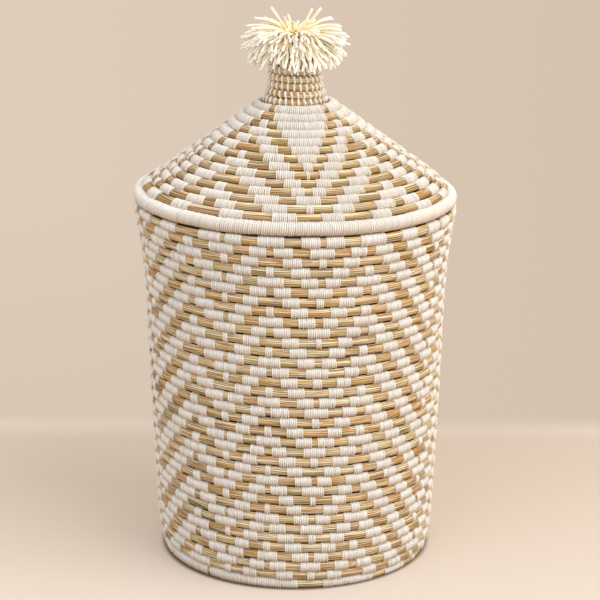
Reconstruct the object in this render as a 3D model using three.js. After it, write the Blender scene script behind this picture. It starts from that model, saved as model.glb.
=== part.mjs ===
// Lidded storage basket, coiled by hand. A bundle of dry grass, bound with yarn, is laid course on
// course: a flat spiral makes the base, a long helix the wall, a cone the lid and a small stack the
// neck that the lid is lifted by. A pompom of yarn is tied to the top of the neck.
// Millimetres, +Z up. The origin is the centre of the base on the floor.

import * as THREE from "three";

// Wall and base. Radii are to the outside of the bundles.
const WALL_HEIGHT = 324;
const WALL_COURSES = 36;
const WALL_THICKNESS = 9;
const MOUTH_RADIUS = 144.2;
const SHOULDER_DRAW = 8.4; // how far the wall is drawn in from the mouth's radius
const WAIST_DRAW = 13.1;
const FOOT_DRAW = 19.5;
const SHOULDER_RADIUS = MOUTH_RADIUS - SHOULDER_DRAW;
const WAIST_RADIUS = MOUTH_RADIUS - WAIST_DRAW;
const FOOT_RADIUS = MOUTH_RADIUS - FOOT_DRAW;
const WAIST_AT = 0.42; // share of the wall's height
const SHOULDER_AT = 0.8;
const BASE_COURSES = 11;
const BASE_THICKNESS = 9;
const KNOT_RADIUS = 15;
const KNOT_FLAT = 0.6; // share of the knot's radius
const REST_CUT = 0.9; // depth of the flat that the base stands on

// Lid. The cone runs from the neck's root out to the thick bound roll on its edge.
const LID_RISE = 78.1;
const LID_COURSES = 14;
const LID_THICKNESS = 8.8;
const CONE_TUCK = 2.7; // of the cone's top course under the neck's foot
const ROLL_HEIGHT = 11.4;
const ROLL_OVERHANG = 0.4; // how far the roll stands out past the wall
const ROLL_WIDTH = 11.8;
const ROLL_SHOULDER = Math.PI / 4; // angle, up from its inner side, where the cone lies on the roll
const LOCATING_COURSES = 2;
const LOCATING_DEPTH = 17.6;
const LOCATING_THICKNESS = 8.6;
const LOCATING_CLEARANCE = 4; // between the locating coil and the wall's mouth
const LOCATING_DROP = 1.2; // of its top below the cone's edge

// Neck and pompom
const NECK_HEIGHT = 41.5;
const NECK_COURSES = 6;
const NECK_THICKNESS = 7.2;
const NECK_TOP_RADIUS = 22.8;
const NECK_WAIST_FLARE = 2; // past the radius of the neck's top
const NECK_ROOT_FLARE = 8.5;
const NECK_WAIST_RADIUS = NECK_TOP_RADIUS + NECK_WAIST_FLARE;
const NECK_ROOT_RADIUS = NECK_TOP_RADIUS + NECK_ROOT_FLARE;
const NECK_SINK = 0.9; // of the neck's foot below the top of the cone
const NECK_WAIST_AT = 0.4; // share of the neck's height
const CORE_DOME = 2.5;
const CORE_FLAT = 0.7; // share of the core's radius
const TIE_HEIGHT = 5;
const TIE_RADIUS = 8;
const TIE_WAIST = 0.8; // share of the tie's radius
const POMPOM_RADIUS = 45;
const POMPOM_TOP = 32; // above the tie
const POMPOM_DROOP = 21; // below the tie, over the neck's top courses
const POMPOM_LOBE_COUNT = 18;
const LOBE_DEPTH = 1.6;
const POMPOM_CLEARANCE = 2; // between the drooping strands and the neck's top
// Outline of the drooping strands and of the dome, as shares of the radius and of the height
const DROOP_SHARES = [[0.76, 1], [0.94, 0.6], [1, 0.1]];
const DOME_SHARES = [[0.95, 0.35], [0.76, 0.7], [0.44, 0.93], [0, 1]];

// Fits
const SEAM_GAP = 0.5; // between a course and the next one of the same coil
const SEAT_GAP = 0.3; // between pieces that touch

// Faceting and coil ends. Turns are counted from the front of the basket.
const COIL_STEPS = 16;
const NECK_STEPS = 10;
const ROLL_STEPS = 32;
const TAPER_FROM = 0.25; // turns past the front where a coil's first course starts to thicken
const TAPER_OVER = 0.4;
const TAIL_START = 0.42; // turns past the front where the coil is thick enough to begin
const TAIL_SHARE = 0.1; // thickness of the tail's end, as a share of the bundle's
const SPLICE_TURN = 18.5; // where the wall's second length of bundle joins the first

const GRASS = { color: 0xc4a264, roughness: 0.75, metalness: 0 };
const YARN = { color: 0xeee7dc, roughness: 0.9, metalness: 0 };
const CREAM_YARN = { color: 0xf1e6d2, roughness: 0.95, metalness: 0 };

// Sections of a bundle, as shares of half its thickness (outwards) and half its course (onwards)
const BOUND_SECTION = [[1, 0], [0, 1], [-1, 0], [0, -1]];
const CUT = 1 - (2 * REST_CUT) / BASE_THICKNESS;
const RESTING_SECTION = [[CUT, 1 - CUT], [0, 1], [-1, 0], [0, -1], [CUT, CUT - 1]];

function smooth(x) {
  return THREE.MathUtils.smoothstep(x, 0, 1);
}

// Distance along the profile of the seam that closes the given turn. Both ends of the coil thin
// out over part of a turn, so its first and last courses lie level all the way round.
function seamAt(turn, courses, pitch) {
  const start = smooth((turn - TAPER_FROM) / TAPER_OVER);
  const end = smooth((courses - TAPER_FROM - turn) / TAPER_OVER);
  if (turn < courses / 2) {
    return pitch * turn * start;
  }
  return pitch * (courses - (courses - turn) * end);
}

// The turns at which a coil has a section: its two ends and every whole step between them
function stations(from, to, steps) {
  const turns = [from];
  const least = 0.25 / steps;
  for (let step = Math.floor(from * steps) + 1; step / steps < to - least; step += 1) {
    if (step / steps > from + least) {
      turns.push(step / steps);
    }
  }
  turns.push(to);
  return turns;
}

// One ring of points round the bundle. The profile is a curve of radius and height.
function ringAt(turn, coil) {
  const length = coil.profile.getLength();
  const pitch = length / coil.courses;
  const below = seamAt(turn - 1, coil.courses, pitch);
  const above = seamAt(turn, coil.courses, pitch);
  const share = THREE.MathUtils.clamp((below + above) / 2 / length, 0, 1);
  const middle = coil.profile.getPointAt(share);
  const along = coil.profile.getTangentAt(share);
  const halfCourse = (above - below - SEAM_GAP) / 2;
  const halfThickness = (coil.thickness / 2) * Math.min(1, TAIL_SHARE + (2 * halfCourse) / pitch);
  const outward = new THREE.Vector2(along.y, -along.x).multiplyScalar(coil.outside);
  const angle = 2 * Math.PI * turn * coil.hand;
  return coil.section.map(([out, on]) => {
    const radius = middle.x + outward.x * out * halfThickness + along.x * on * halfCourse;
    const height = middle.y + outward.y * out * halfThickness + along.y * on * halfCourse;
    return new THREE.Vector3(radius * Math.sin(angle), -radius * Math.cos(angle), height);
  });
}

// Closes a row of rings into one solid: sides between the rings and a fan on each end
function solidFromRings(rings) {
  const sides = rings[0].length;
  const last = (rings.length - 1) * sides;
  const index = [];
  for (let ring = 0; ring < rings.length - 1; ring += 1) {
    for (let side = 0; side < sides; side += 1) {
      const a = ring * sides + side;
      const b = ring * sides + ((side + 1) % sides);
      index.push(a, b, b + sides, a, b + sides, a + sides);
    }
  }
  for (let side = 1; side < sides - 1; side += 1) {
    index.push(0, side + 1, side, last, last + side, last + side + 1);
  }
  const geometry = new THREE.BufferGeometry();
  geometry.setAttribute("position", positionsOf(rings.flat()));
  geometry.setIndex(volumeOf(rings.flat(), index) < 0 ? index.toReversed() : index);
  geometry.computeVertexNormals();
  return geometry;
}

function positionsOf(points) {
  return new THREE.Float32BufferAttribute(points.flatMap((point) => point.toArray()), 3);
}

// Signed volume, which tells whether the faces point out
function volumeOf(points, index) {
  let volume = 0;
  for (let i = 0; i < index.length; i += 3) {
    const [a, b, c] = [points[index[i]], points[index[i + 1]], points[index[i + 2]]];
    volume += a.dot(b.clone().cross(c)) / 6;
  }
  return volume;
}

// Least distance between the points of a coil that lie at least half a turn apart
function leastGap(rings, steps) {
  let least = Infinity;
  for (let ring = 0; ring < rings.length; ring += 1) {
    const near = rings.slice(ring + Math.ceil(steps / 2), ring + 2 * steps);
    for (const point of rings[ring]) {
      for (const other of near.flat()) {
        least = Math.min(least, point.distanceTo(other));
      }
    }
  }
  return least;
}

// A length of coil as one unbroken solid, between two turns of its profile
function coilLength(name, coil, from, to) {
  const rings = stations(from, to, coil.steps).map((turn) => ringAt(turn, coil));
  console.log(`${name}: least gap to itself ${leastGap(rings, coil.steps).toFixed(2)} mm`);
  return piece(name, solidFromRings(rings), coil.finish);
}

// A whole coil, from its thin first end to its thin last end
function wholeCoil(name, coil) {
  return coilLength(name, coil, TAIL_START, coil.courses + 1 - TAIL_START);
}

function piece(name, geometry, finish) {
  const mesh = new THREE.Mesh(geometry, new THREE.MeshStandardMaterial(finish));
  mesh.name = name;
  return mesh;
}

// A turned solid from its profile of radius and height
function turned(points, steps) {
  const profile = points.map(([radius, height]) => new THREE.Vector2(radius, height));
  const geometry = new THREE.LatheGeometry(profile, steps);
  return geometry.rotateX(Math.PI / 2);
}

// The wall's profile through the middle of its bundles, from the foot up
function wallProfile() {
  const inset = WALL_THICKNESS / 2;
  return new THREE.SplineCurve([
    new THREE.Vector2(FOOT_RADIUS - inset, 0),
    new THREE.Vector2(WAIST_RADIUS - inset, WALL_HEIGHT * WAIST_AT),
    new THREE.Vector2(SHOULDER_RADIUS - inset, WALL_HEIGHT * SHOULDER_AT),
    new THREE.Vector2(MOUTH_RADIUS - inset, WALL_HEIGHT),
  ]);
}

// The wall is a helix that climbs to the left. Its bundle is made up of two lengths, which meet
// end to end behind the basket.
function wall() {
  const coil = {
    profile: wallProfile(),
    courses: WALL_COURSES,
    thickness: WALL_THICKNESS,
    section: BOUND_SECTION,
    steps: COIL_STEPS,
    hand: -1,
    outside: 1,
    finish: GRASS,
  };
  const halfGap = SEAT_GAP / 2 / (2 * Math.PI * WAIST_RADIUS);
  return [
    coilLength("wall_coil_lower", coil, TAIL_START, SPLICE_TURN - halfGap),
    coilLength("wall_coil_upper", coil, SPLICE_TURN + halfGap, WALL_COURSES + 1 - TAIL_START),
  ];
}

// The base is a flat spiral inside the wall's lowest course, round a knot at its centre
function base() {
  const rim = FOOT_RADIUS - WALL_THICKNESS - SEAT_GAP;
  const middle = BASE_THICKNESS / 2 - REST_CUT;
  const spiral = {
    profile: new THREE.LineCurve(
      new THREE.Vector2(KNOT_RADIUS + SEAT_GAP - SEAM_GAP / 2, middle),
      new THREE.Vector2(rim + SEAM_GAP / 2, middle),
    ),
    courses: BASE_COURSES,
    thickness: BASE_THICKNESS,
    section: RESTING_SECTION,
    steps: COIL_STEPS,
    hand: -1,
    outside: 1,
    finish: GRASS,
  };
  const top = middle + BASE_THICKNESS / 2;
  const knot = turned([
    [0, 0],
    [KNOT_RADIUS * KNOT_FLAT, 0],
    [KNOT_RADIUS, middle],
    [KNOT_RADIUS * KNOT_FLAT, top],
    [0, top],
  ], COIL_STEPS);
  return [piece("base_centre_knot", knot, GRASS), wholeCoil("base_coil", spiral)];
}

// Places that the lid's pieces share
const ROLL_MIDDLE = WALL_HEIGHT + SEAT_GAP + ROLL_HEIGHT / 2;
const ROLL_RADIUS = MOUTH_RADIUS + ROLL_OVERHANG - ROLL_WIDTH / 2;
const SHOULDER_INSIDE = ROLL_RADIUS - (ROLL_WIDTH / 2) * Math.cos(ROLL_SHOULDER);
const SHOULDER_RISE = (ROLL_HEIGHT / 2) * Math.sin(ROLL_SHOULDER);
const CONE_EDGE = new THREE.Vector2(
  SHOULDER_INSIDE * Math.cos(Math.PI / ROLL_STEPS) - SEAT_GAP * Math.cos(ROLL_SHOULDER),
  ROLL_MIDDLE + SHOULDER_RISE + SEAT_GAP * Math.sin(ROLL_SHOULDER),
);
const CONE_ROOT = new THREE.Vector2(NECK_ROOT_RADIUS - CONE_TUCK, CONE_EDGE.y + LID_RISE);

// The lid's cone, coiled outwards from the neck and falling to the right
function lidCone() {
  return wholeCoil("lid_coil", {
    profile: new THREE.LineCurve(CONE_ROOT, CONE_EDGE),
    courses: LID_COURSES,
    thickness: LID_THICKNESS,
    section: BOUND_SECTION,
    steps: COIL_STEPS,
    hand: 1,
    outside: -1,
    finish: GRASS,
  });
}

// The thick roll on the lid's edge, bound all over with yarn. It stands on the wall's top course.
function lidEdgeRoll() {
  const sides = 8;
  const outline = [];
  for (let side = 0; side <= sides; side += 1) {
    const angle = (2 * Math.PI * side) / sides;
    outline.push([
      ROLL_RADIUS + (ROLL_WIDTH / 2) * Math.cos(angle),
      ROLL_MIDDLE + (ROLL_HEIGHT / 2) * Math.sin(angle),
    ]);
  }
  return piece("lid_edge_roll", turned(outline, ROLL_STEPS), YARN);
}

// The two courses under the lid that drop inside the wall's mouth and keep the lid in place
function lidLocatingCoil() {
  const outer = MOUTH_RADIUS - WALL_THICKNESS - LOCATING_CLEARANCE;
  const radius = outer - LOCATING_THICKNESS / 2;
  const top = CONE_EDGE.y - LOCATING_DROP;
  return wholeCoil("lid_locating_coil", {
    profile: new THREE.LineCurve(
      new THREE.Vector2(radius, top - LOCATING_DEPTH),
      new THREE.Vector2(radius, top),
    ),
    courses: LOCATING_COURSES,
    thickness: LOCATING_THICKNESS,
    section: BOUND_SECTION,
    steps: COIL_STEPS,
    hand: -1,
    outside: 1,
    finish: GRASS,
  });
}

const NECK_FOOT = CONE_ROOT.y - NECK_SINK;
const NECK_TOP = NECK_FOOT + NECK_HEIGHT;

// The neck's small stack of courses, drawn in above its root
function neck() {
  const inset = NECK_THICKNESS / 2;
  return wholeCoil("neck_coil", {
    profile: new THREE.SplineCurve([
      new THREE.Vector2(NECK_ROOT_RADIUS - inset, NECK_FOOT),
      new THREE.Vector2(NECK_WAIST_RADIUS - inset, NECK_FOOT + NECK_HEIGHT * NECK_WAIST_AT),
      new THREE.Vector2(NECK_TOP_RADIUS - inset, NECK_TOP),
    ]),
    courses: NECK_COURSES,
    thickness: NECK_THICKNESS,
    section: BOUND_SECTION,
    steps: NECK_STEPS,
    hand: -1,
    outside: 1,
    finish: GRASS,
  });
}

// The standing bundle that the neck is coiled round, and that carries the pompom
function neckCore() {
  const inside = NECK_TOP_RADIUS - NECK_THICKNESS - SEAT_GAP / Math.cos(Math.PI / NECK_STEPS);
  const core = turned([
    [0, NECK_FOOT],
    [inside, NECK_FOOT],
    [inside, NECK_TOP],
    [inside * CORE_FLAT, NECK_TOP + CORE_DOME],
    [0, NECK_TOP + CORE_DOME],
  ], NECK_STEPS);
  return piece("neck_core", core, GRASS);
}

// The yarn tied round the middle of the pompom, and down to the neck's core
function pompomTie() {
  const foot = NECK_TOP + CORE_DOME + SEAT_GAP;
  const tie = turned([
    [0, foot],
    [TIE_RADIUS, foot],
    [TIE_RADIUS * TIE_WAIST, foot + TIE_HEIGHT / 2],
    [TIE_RADIUS, foot + TIE_HEIGHT],
    [0, foot + TIE_HEIGHT],
  ], NECK_STEPS);
  return piece("pompom_tie", tie, CREAM_YARN);
}

// The pompom's yarn: a full dome whose strands droop over the neck's top courses, in soft locks
function pompomYarn() {
  const foot = NECK_TOP + CORE_DOME + TIE_HEIGHT + 2 * SEAT_GAP;
  const clear = NECK_TOP_RADIUS + POMPOM_CLEARANCE;
  const inside = [[0, 0], [clear * 0.8, 0], [clear, 0.4], [clear, 0.9]];
  const outline = [
    ...inside.map(([radius, fall]) => [radius, foot - POMPOM_DROOP * fall]),
    ...DROOP_SHARES.map(([share, fall]) => [POMPOM_RADIUS * share, foot - POMPOM_DROOP * fall]),
    ...DOME_SHARES.map(([share, rise]) => [POMPOM_RADIUS * share, foot + POMPOM_TOP * rise]),
  ];
  const geometry = turned(outline, 2 * POMPOM_LOBE_COUNT);
  const positions = geometry.getAttribute("position");
  for (let i = 0; i < positions.count; i += 1) {
    const [x, y] = [positions.getX(i), positions.getY(i)];
    const radius = Math.hypot(x, y);
    const wave = Math.cos(POMPOM_LOBE_COUNT * Math.atan2(y, x)) * LOBE_DEPTH;
    const full = radius > clear + LOBE_DEPTH ? (radius + wave) / radius : 1;
    positions.setXY(i, x * full, y * full);
  }
  return piece("pompom_yarn", geometry, CREAM_YARN);
}

const basket = new THREE.Group();
basket.add(...base(), ...wall());

const lid = new THREE.Group();
lid.add(lidCone(), lidEdgeRoll(), lidLocatingCoil(), neck(), neckCore(), pompomTie(), pompomYarn());

const object = new THREE.Group();
object.add(basket, lid);

export default object;
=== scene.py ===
import math

import bmesh
import bpy
import numpy as np
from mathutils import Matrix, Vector


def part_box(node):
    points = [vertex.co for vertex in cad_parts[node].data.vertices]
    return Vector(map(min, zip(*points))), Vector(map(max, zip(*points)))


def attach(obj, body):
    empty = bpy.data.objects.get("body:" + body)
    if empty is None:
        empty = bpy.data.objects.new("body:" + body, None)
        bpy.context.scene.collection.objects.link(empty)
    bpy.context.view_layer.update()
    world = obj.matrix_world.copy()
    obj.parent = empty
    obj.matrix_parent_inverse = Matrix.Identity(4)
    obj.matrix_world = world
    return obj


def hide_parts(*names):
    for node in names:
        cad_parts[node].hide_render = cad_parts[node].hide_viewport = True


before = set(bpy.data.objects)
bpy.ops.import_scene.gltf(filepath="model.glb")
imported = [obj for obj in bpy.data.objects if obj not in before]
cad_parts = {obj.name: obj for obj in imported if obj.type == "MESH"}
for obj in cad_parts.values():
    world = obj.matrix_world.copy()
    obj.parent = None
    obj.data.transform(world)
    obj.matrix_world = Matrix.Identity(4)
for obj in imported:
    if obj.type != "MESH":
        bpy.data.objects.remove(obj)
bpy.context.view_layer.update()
MM = 0.001

# Camera. It looks down on the basket's shoulder from the front, from almost two metres, and the
# basket's axis lies a little left of the middle of the picture.
CAMERA_PLACE = (0, -1.7773, 0.7391)
CAMERA_PITCH = math.radians(15.991)
CAMERA_FOCAL_PIXELS = 2041.4
PICTURE_PIXELS = 600
AXIS_PIXEL = 295

camera_data = bpy.data.cameras.new("camera")
camera_data.sensor_width = 36
camera_data.lens = 36 * CAMERA_FOCAL_PIXELS / PICTURE_PIXELS
camera_data.shift_x = (PICTURE_PIXELS / 2 - AXIS_PIXEL) / PICTURE_PIXELS
camera = bpy.data.objects.new("camera", camera_data)
camera.location = CAMERA_PLACE
camera.rotation_euler = (math.pi / 2 - CAMERA_PITCH, 0, 0)
bpy.context.scene.collection.objects.link(camera)
bpy.context.scene.camera = camera

# Base. A flat spiral of grass bundle sewn round a centre knot with off-white yarn. The basket is
# begun here, and stands on the flattened undersides of the spiral's courses.
BASE_COURSES = 11
BASE_THICKNESS = 9 * MM
BASE_KNOT_RADIUS = 15 * MM
BASE_RIM_RADIUS = 112.4 * MM
BASE_MIDDLE = 3.6 * MM
KNOT_COURSES = 2
KNOT_THICKNESS = BASE_THICKNESS * 0.92
KNOT_START = 2.6 * MM
KNOT_GAP = 0.2 * MM
FLOOR_CLEAR = 0.05 * MM
TAPER_FROM = 0.25
TAPER_OVER = 0.4
TAIL_START = 0.42
THINNEST_SHARE = 0.1
STEMS = 15
STEM_GROOVE = 0.24
STEM_SWELL = 0.035
STEM_SWELL_SPACING = 40 * MM
BUNDLE_TWIST = 0.28
BUNDLE_TWIST_SPACING = 110 * MM
BUNDLE_SINK = 0.06 * MM
BUNDLE_SINK_SPACING = 30 * MM
BUNDLE_FILLS_OUT = 0.9
BUNDLE_FILLS_ON = 0.96
GRASS_STEP = 5 * MM
SECTION_POWER = 0.84
YARN_WIDTH = 1.56 * MM
YARN_RING = 12
YARN_FILLS_OUT = 0.88
YARN_FILLS_ON = 0.95
YARN_PROUD = 1.0 * MM
PROUD_IN_VALLEY = 0.35
PROUD_ON_CREST = 0.65
PROUD_ALONG = 0.3
YARN_CATCH = 1.7 * MM
CATCH_FROM = 0.35
CATCH_LIFT_MOST = 1.3
FLAT_CATCH = 0.3 * MM
CREST_HALF = 0.23
CREST_FROM = 0.26
CREST_TO = 0.74
MIDDLE_SPREAD = 0.05
SEAM_SPREAD = 0.1
CREST_SPREAD = 0.17
VALLEY_SPREAD = 0.2
LEAN_SPREAD = 0.16
END_CREST = 0.14
END_SINK = -0.9
END_BARE = 0.1
WELD = 0.001 * MM
STRAW = ((0.73, 0.35, 0.075), (0.88, 0.58, 0.24), (0.97, 0.78, 0.45), (1.0, 0.93, 0.7), (0.7, 0.59, 0.27))
STRAW_FROM = (0.0, 0.16, 0.38, 0.62, 0.86)
STRAW_PALE = (0.94, 0.87, 0.68)
STRAW_BROWN = (0.34, 0.155, 0.045)
# Painted shade: the top of a course is browner where the course above shades it
UNDER_COURSE_PAINTED_SHADE = (0.62, 0.29, 0.075)
# Painted shade: olive towards a course's foot, which faces down away from the light
FOOT_PAINTED_SHADE = (0.41, 0.235, 0.075)
# Painted shade: dark lines in the grooves between the stems
STEM_LINE_PAINTED_SHADE = (0.09, 0.04, 0.013)
# Painted shade: nearly black deep in the grooves between the courses
GROOVE_PAINTED_SHADE = (0.035, 0.018, 0.007)
YARN_WHITE = (0.968, 0.96, 0.948)
YARN_DULL = (0.78, 0.735, 0.64)
# Painted shade in the valleys between the turns of yarn
YARN_SHADE = (0.3, 0.185, 0.1)
# Painted shade: the lower half of each turn, which faces down away from the light
YARN_LOWER_PAINTED_SHADE = (0.56, 0.385, 0.24)
# Painted shade where the yarn meets the courses above and below
YARN_EDGE_PAINTED_SHADE = (0.42, 0.29, 0.17)
# Painted shade in a dark gap between turns here and there
YARN_GAP_PAINTED_SHADE = (0.2, 0.1, 0.045)


def smooth(share):
    """Eases from 0 to 1."""
    share = np.clip(share, 0, 1)
    return share * share * (3 - 2 * share)


def curve_through(points, steps=400):
    """Radius and height along a smooth curve through a few points, at even steps of its length."""
    points = np.array(points, float)
    last = len(points) - 1
    place = np.linspace(0, last, steps)
    first = np.minimum(place.astype(int), last - 1)
    share = (place - first)[:, None]
    before, start = points[np.maximum(first - 1, 0)], points[first]
    end, after = points[first + 1], points[np.minimum(first + 2, last)]
    leave, arrive = (end - before) / 2, (after - start) / 2
    curve = ((2 * start - 2 * end + leave + arrive) * share**3
             + (3 * end - 3 * start - 2 * leave - arrive) * share**2 + leave * share + start)
    run = np.concatenate([[0], np.cumsum(np.hypot(*np.diff(curve, axis=0).T))])
    even = np.linspace(0, run[-1], steps)
    return even, np.interp(even, run, curve[:, 0]), np.interp(even, run, curve[:, 1])


class Coil:
    """One bundle laid course on course, as a helix along a profile of radius and height."""

    def __init__(self, points, courses, thickness, hand, outside=1):
        self.run, self.radius, self.height = curve_through(points)
        self.spread = np.gradient(self.radius, self.run)
        self.rise = np.gradient(self.height, self.run)
        self.courses = courses
        self.thickness = thickness
        self.hand = hand
        self.outside = outside
        self.pitch = self.run[-1] / courses
        self.lean = np.zeros(len(self.run))

    def seam(self, turn):
        """How far along the profile the groove above a course lies. It is level at both ends."""
        start = smooth((turn - TAPER_FROM) / TAPER_OVER)
        end = smooth((self.courses - TAPER_FROM - turn) / TAPER_OVER)
        rising = self.pitch * turn * start
        closing = self.pitch * (self.courses - (self.courses - turn) * end)
        return np.where(turn < self.courses / 2, rising, closing)

    def half_course(self, turn):
        """Half a course's height, which tapers to nothing at the bundle's ends."""
        return (self.seam(turn) - self.seam(turn - 1)) / 2

    def half_thickness(self, turn):
        return self.thickness / 2 * np.minimum(1, THINNEST_SHARE + 2 * self.half_course(turn) / self.pitch)

    def radius_at(self, turn):
        return np.interp((self.seam(turn) + self.seam(turn - 1)) / 2, self.run, self.radius)

    def points(self, turn, out, on):
        """Places `out` from the middle of the course at each turn, and `on` along the profile."""
        along = (self.seam(turn) + self.seam(turn - 1)) / 2
        spread, rise = np.interp(along, self.run, self.spread), np.interp(along, self.run, self.rise)
        radius = np.interp(along, self.run, self.radius) + self.outside * rise * out + spread * on
        height = np.interp(along, self.run, self.height) - self.outside * spread * out + rise * on
        angle = 2 * math.pi * turn * self.hand
        height = height - np.interp(along, self.run, self.lean) * np.sin(angle)
        return np.stack(np.broadcast_arrays(radius * np.sin(angle), -radius * np.cos(angle), height), -1)


def rolled(name, places, cuts=(), **marks):
    """A mesh from a grid of places, rolled up so that its two long edges meet. It is cut open at
    some columns, and each mark is a number kept at every place for the materials to read."""
    around, along = places.shape[0] - 1, places.shape[1] - 1
    bm = bmesh.new()
    bm.loops.layers.uv.new("lay")
    layers = [bm.verts.layers.float.new(mark) for mark in marks]
    bmesh.ops.create_grid(bm, x_segments=along, y_segments=around, size=0.5, calc_uvs=True)
    for vert, place in zip(bm.verts, places.reshape(-1, 3).tolist()):
        vert.co = place
    for layer, mark in zip(layers, marks.values()):
        for vert, number in zip(bm.verts, np.broadcast_to(mark, places.shape[:2]).ravel().tolist()):
            vert[layer] = number
    if len(cuts):
        bm.faces.ensure_lookup_table()
        cut = [bm.faces[row * along + column] for row in range(around) for column in cuts]
        bmesh.ops.delete(bm, geom=cut, context="FACES")
    bmesh.ops.remove_doubles(bm, verts=bm.verts, dist=WELD)
    open_edges = [edge for edge in bm.edges if edge.is_boundary]
    bmesh.ops.holes_fill(bm, edges=open_edges, sides=0)
    bmesh.ops.recalc_face_normals(bm, faces=bm.faces)
    for face in bm.faces:
        face.smooth = True
    mesh = bpy.data.meshes.new(name)
    bm.to_mesh(mesh)
    bm.free()
    piece = bpy.data.objects.new(name, mesh)
    bpy.context.scene.collection.objects.link(piece)
    return piece


def drift(random, along, spacing, amount):
    """A smooth wander along a length, for the small unevenness of handwork."""
    knots = np.arange(along.min() - spacing, along.max() + 2 * spacing, spacing)
    place = (along - knots[0]) / spacing
    first = place.astype(int)
    wander = random.normal(0, amount, len(knots) + 1)
    share = smooth(place - first)
    return wander[first] * (1 - share) + wander[first + 1] * share


def squared(wave):
    """Fills out a round section towards its corners."""
    return np.sign(wave) * np.abs(wave) ** SECTION_POWER


def grass(name, coil, first_turn, last_turn, seed, straw=STRAW, shade=0.8):
    """The bundle of stems, each a ridge that wanders a little along the course."""
    random = np.random.default_rng(seed)
    mean = np.mean(coil.radius_at(np.linspace(first_turn, last_turn, 200)))
    length = 2 * math.pi * mean * (last_turn - first_turn)
    turn = np.linspace(first_turn, last_turn, int(length / GRASS_STEP))
    along = (turn - first_turn) / (last_turn - first_turn) * length
    corner = np.arange(2 * STEMS + 1)
    ridge = np.where(corner % 2 == 0, 1.0, 1 - STEM_GROOVE)[:, None]
    swell = np.stack([drift(random, along, STEM_SWELL_SPACING, STEM_SWELL) for _ in corner])
    swell[-1] = swell[0]
    twist = drift(random, along, BUNDLE_TWIST_SPACING, BUNDLE_TWIST)
    angle = math.pi + corner[:, None] * math.pi / STEMS + twist[None, :]
    sink = drift(random, along, BUNDLE_SINK_SPACING, BUNDLE_SINK)
    reach = ridge + swell
    out = coil.half_thickness(turn) * BUNDLE_FILLS_OUT * squared(np.cos(angle)) * reach
    on = coil.half_course(turn) * BUNDLE_FILLS_ON * squared(np.sin(angle)) * reach + sink
    places = coil.points(turn[None, :], out, on)
    piece = rolled(name, places, high=coil.outside * np.sin(angle))
    piece.data.materials.append(grass_finish(name + "_grass", length, straw, STEMS, shade))
    return piece


def bound_blocks(coil, first_turn, last_turn, pattern, seed, fewest=3):
    """Where the yarn is wound: the stretches of turns, each a whole number of yarn widths."""
    random = np.random.default_rng(seed)
    turns = [first_turn]
    while turns[-1] < last_turn:
        turns.append(turns[-1] + YARN_WIDTH / (2 * math.pi * coil.radius_at(turns[-1])))
    turns = np.array(turns)
    wound = pattern(turns[:-1] + np.diff(turns) / 2, random)
    edges = np.flatnonzero(np.diff(np.concatenate([[0], wound.astype(int), [0]])))
    stretches = [(start, end) for start, end in zip(edges[::2], edges[1::2]) if end - start >= fewest]
    return [(turns[start], turns[end], end - start) for start, end in stretches]


def in_threes(start, *columns):
    """A row of numbers that begins with one and goes on with three for each turn of yarn."""
    return np.concatenate([[start], np.stack(columns, 1).ravel()])


def wound_yarn(name, coil, blocks, seed, proud=YARN_PROUD, catch=YARN_CATCH, slant=0.12, **look):
    """Yarn wound round the bundle in close turns, each of which catches the course below it. Each
    turn has a crest of two columns and a valley, and each block ends sunk into the bundle."""
    random = np.random.default_rng(seed)
    turn, lift, tilt, wind, cuts = [], [], [], [], []
    columns, wound = 0, 0
    for start, end, count in blocks:
        ring = np.arange(count)
        between = np.concatenate([random.normal(0, SEAM_SPREAD, count - 1), [0]])
        middle = ring + 0.5 + random.normal(0, MIDDLE_SPREAD, count)
        place = in_threes(0, middle - CREST_HALF, middle + CREST_HALF, ring + 1 + between)
        crest = 1 + random.normal(0, CREST_SPREAD, count)
        crest[0] += END_CREST
        crest[-1] += END_CREST
        valley = random.normal(0, VALLEY_SPREAD, count)
        lean = random.normal(0, LEAN_SPREAD, count)
        heights = in_threes(END_SINK, crest, crest, valley)
        heights[-1] = END_SINK
        turn.append(start + (end - start) * place / count)
        lift.append(heights)
        tilt.append(in_threes(lean[0], lean, lean, lean))
        wind.append(wound + in_threes(0, ring + CREST_FROM, ring + CREST_TO, ring + 1.0))
        wound += count + 1
        columns += len(place)
        cuts.append(columns - 1)
    turn, lift, tilt, wind = (np.concatenate(part) for part in (turn, lift, tilt, wind))
    angle = math.pi + np.linspace(0, 2 * math.pi, YARN_RING + 1)[:, None] + math.pi / YARN_RING
    extra = proud * (PROUD_IN_VALLEY + PROUD_ON_CREST * lift)
    down = -coil.outside * np.sin(angle)
    low = np.maximum(0, down) ** 2 * np.maximum(0, np.cos(angle) + CATCH_FROM)
    side = squared(np.cos(angle)) * (coil.half_thickness(turn) * YARN_FILLS_OUT + extra)
    level = squared(np.sin(angle)) * (coil.half_course(turn) * YARN_FILLS_ON + extra * PROUD_ALONG)
    level = level - coil.outside * low * catch * np.clip(lift, 0, CATCH_LIFT_MOST)
    lean = (slant + tilt) * YARN_WIDTH / (2 * math.pi * coil.radius_at(turn))
    leaning = turn + lean * np.sin(angle) * np.clip(3 * np.cos(angle), -1, 1)
    piece = rolled(name, coil.points(leaning, side, level), cuts=cuts[:-1], wind=wind, high=-down)
    piece.data.materials.append(yarn_finish(name + "_yarn", **look))
    return piece


def shader(name):
    """A material with its node tree and its shader."""
    material = bpy.data.materials.new(name)
    material.use_nodes = True
    tree = material.node_tree
    return material, tree, tree.nodes["Principled BSDF"]


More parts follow.
